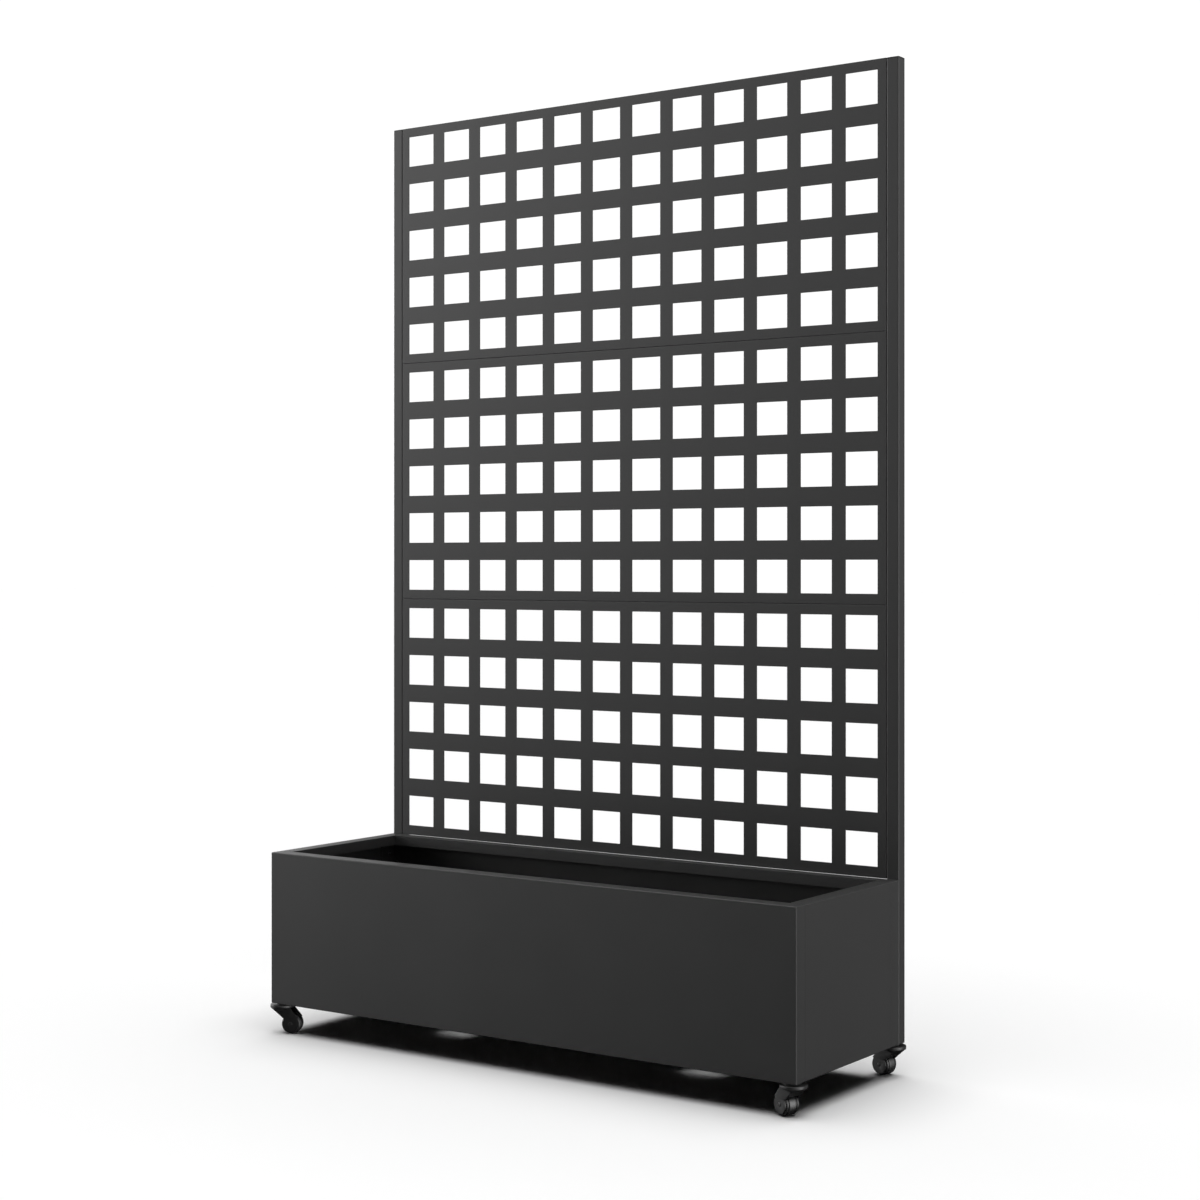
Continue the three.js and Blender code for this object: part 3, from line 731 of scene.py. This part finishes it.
def studio():
    world = bpy.data.worlds.new("studio")
    bpy.context.scene.world = world
    world.use_nodes = True
    tree = Tree(world.node_tree)
    way = tree.node("ShaderNodeTexCoord").outputs["Generated"]
    x, y, z = tree.node("ShaderNodeSeparateXYZ", {0: way}).outputs[:3]
    height = tree.math("MULTIPLY_ADD", z, 0.5, 0.5)
    steep, gentle = tree.ramp(height, STEEP), tree.ramp(height, GENTLE)
    raised, tall = tree.ramp(height, RAISED), tree.ramp(height, TALL)
    level_part = tree.math("SQRT", tree.math("SUBTRACT", POLE_GUARD, tree.math("MULTIPLY", z, z)))

    def lobe(level, azimuth, sharpness, amount, upright=False):
        """Soft area of light toward an azimuth in degrees; an upright one is a tall strip."""
        side = math.radians(azimuth)
        toward = tree.math("ADD", tree.math("MULTIPLY", x, math.cos(side)),
                           tree.math("MULTIPLY", y, math.sin(side)))
        if upright:
            toward = tree.math("DIVIDE", toward, level_part)
        shape = tree.math("EXPONENT", tree.math("MULTIPLY_ADD", toward, sharpness, -sharpness))
        return tree.math("MULTIPLY", tree.math("MULTIPLY", shape, amount), level)

    left = lobe(steep, 200, 8.0, 7.3)
    right = tree.math("ADD", lobe(gentle, 331, 7.0, 2.8), lobe(tall, 2, 16.0, 4.2, True))
    back = tree.math("ADD", lobe(gentle, 44, 6.0, 1.12), lobe(raised, 154, 40.0, 18.0))
    above = tree.ramp(height, ABOVE)
    glossy = tree.math("ADD", tree.math("ADD", left, right), tree.math("ADD", back, above))
    paths = tree.node("ShaderNodeLightPath")
    seen, mirrored, dark = (
        tree.node("ShaderNodeBackground", {"Color": WHITE, "Strength": strength})
        for strength in (BACKGROUND, glossy, 0.0)
    )
    inner = tree.switch(paths.outputs["Is Glossy Ray"], dark, mirrored)
    outer = tree.switch(paths.outputs["Is Camera Ray"], inner, seen)
    tree.finish("ShaderNodeOutputWorld", outer)

    for name, angle, strength in LAMPS:
        lamp = bpy.data.lights.new(name, "SUN")
        lamp.angle = math.radians(angle)
        lamp.energy = strength
        holder = bpy.data.objects.new(name, lamp)
        holder.location = (0, 0, LAMP_HIGH)
        bpy.context.scene.collection.objects.link(holder)


def floor():
    """Pale ground that glossy rays pass through."""
    mesh = bpy.data.meshes.new("studio_floor")
    corners = [(-1, -1), (1, -1), (1, 1), (-1, 1)]
    mesh.from_pydata([(x * FLOOR_REACH, y * FLOOR_REACH, 0) for x, y in corners],
                     [], [(0, 1, 2, 3)])
    ground = bpy.data.objects.new("studio_floor", mesh)
    bpy.context.scene.collection.objects.link(ground)
    made = bpy.data.materials.new("pale_floor")
    made.use_nodes = True
    tree = Tree(made.node_tree)
    paths = tree.node("ShaderNodeLightPath")
    pale = tree.node("ShaderNodeBsdfDiffuse", {"Color": grey(FLOOR_LEVEL)})
    clear = tree.node("ShaderNodeBsdfTransparent")
    mixed = tree.switch(paths.outputs["Is Glossy Ray"], pale, clear)
    tree.finish("ShaderNodeOutputMaterial", mixed)
    mesh.materials.append(made)


# The camera as fitted to the photograph: millimetres, share of the width, metres and degrees
SENSOR, LENS, SHIFT_UP = 36, 65.115, -0.03098
CAMERA_AT, CAMERA_TURN = (2.4118, -3.3752, 0.937), 34.875
CLIP_END = 200


def camera():
    lens = bpy.data.cameras.new("photo_camera")
    lens.sensor_width = SENSOR
    lens.lens = LENS
    lens.shift_y = SHIFT_UP
    lens.clip_end = CLIP_END
    holder = bpy.data.objects.new("photo_camera", lens)
    holder.location = CAMERA_AT
    holder.rotation_euler = (math.radians(90), 0, math.radians(CAMERA_TURN))
    bpy.context.scene.collection.objects.link(holder)
    bpy.context.scene.camera = holder


studio()
floor()
camera()
bpy.context.scene.view_settings.view_transform = "Standard"

bpy.context.view_layer.update()
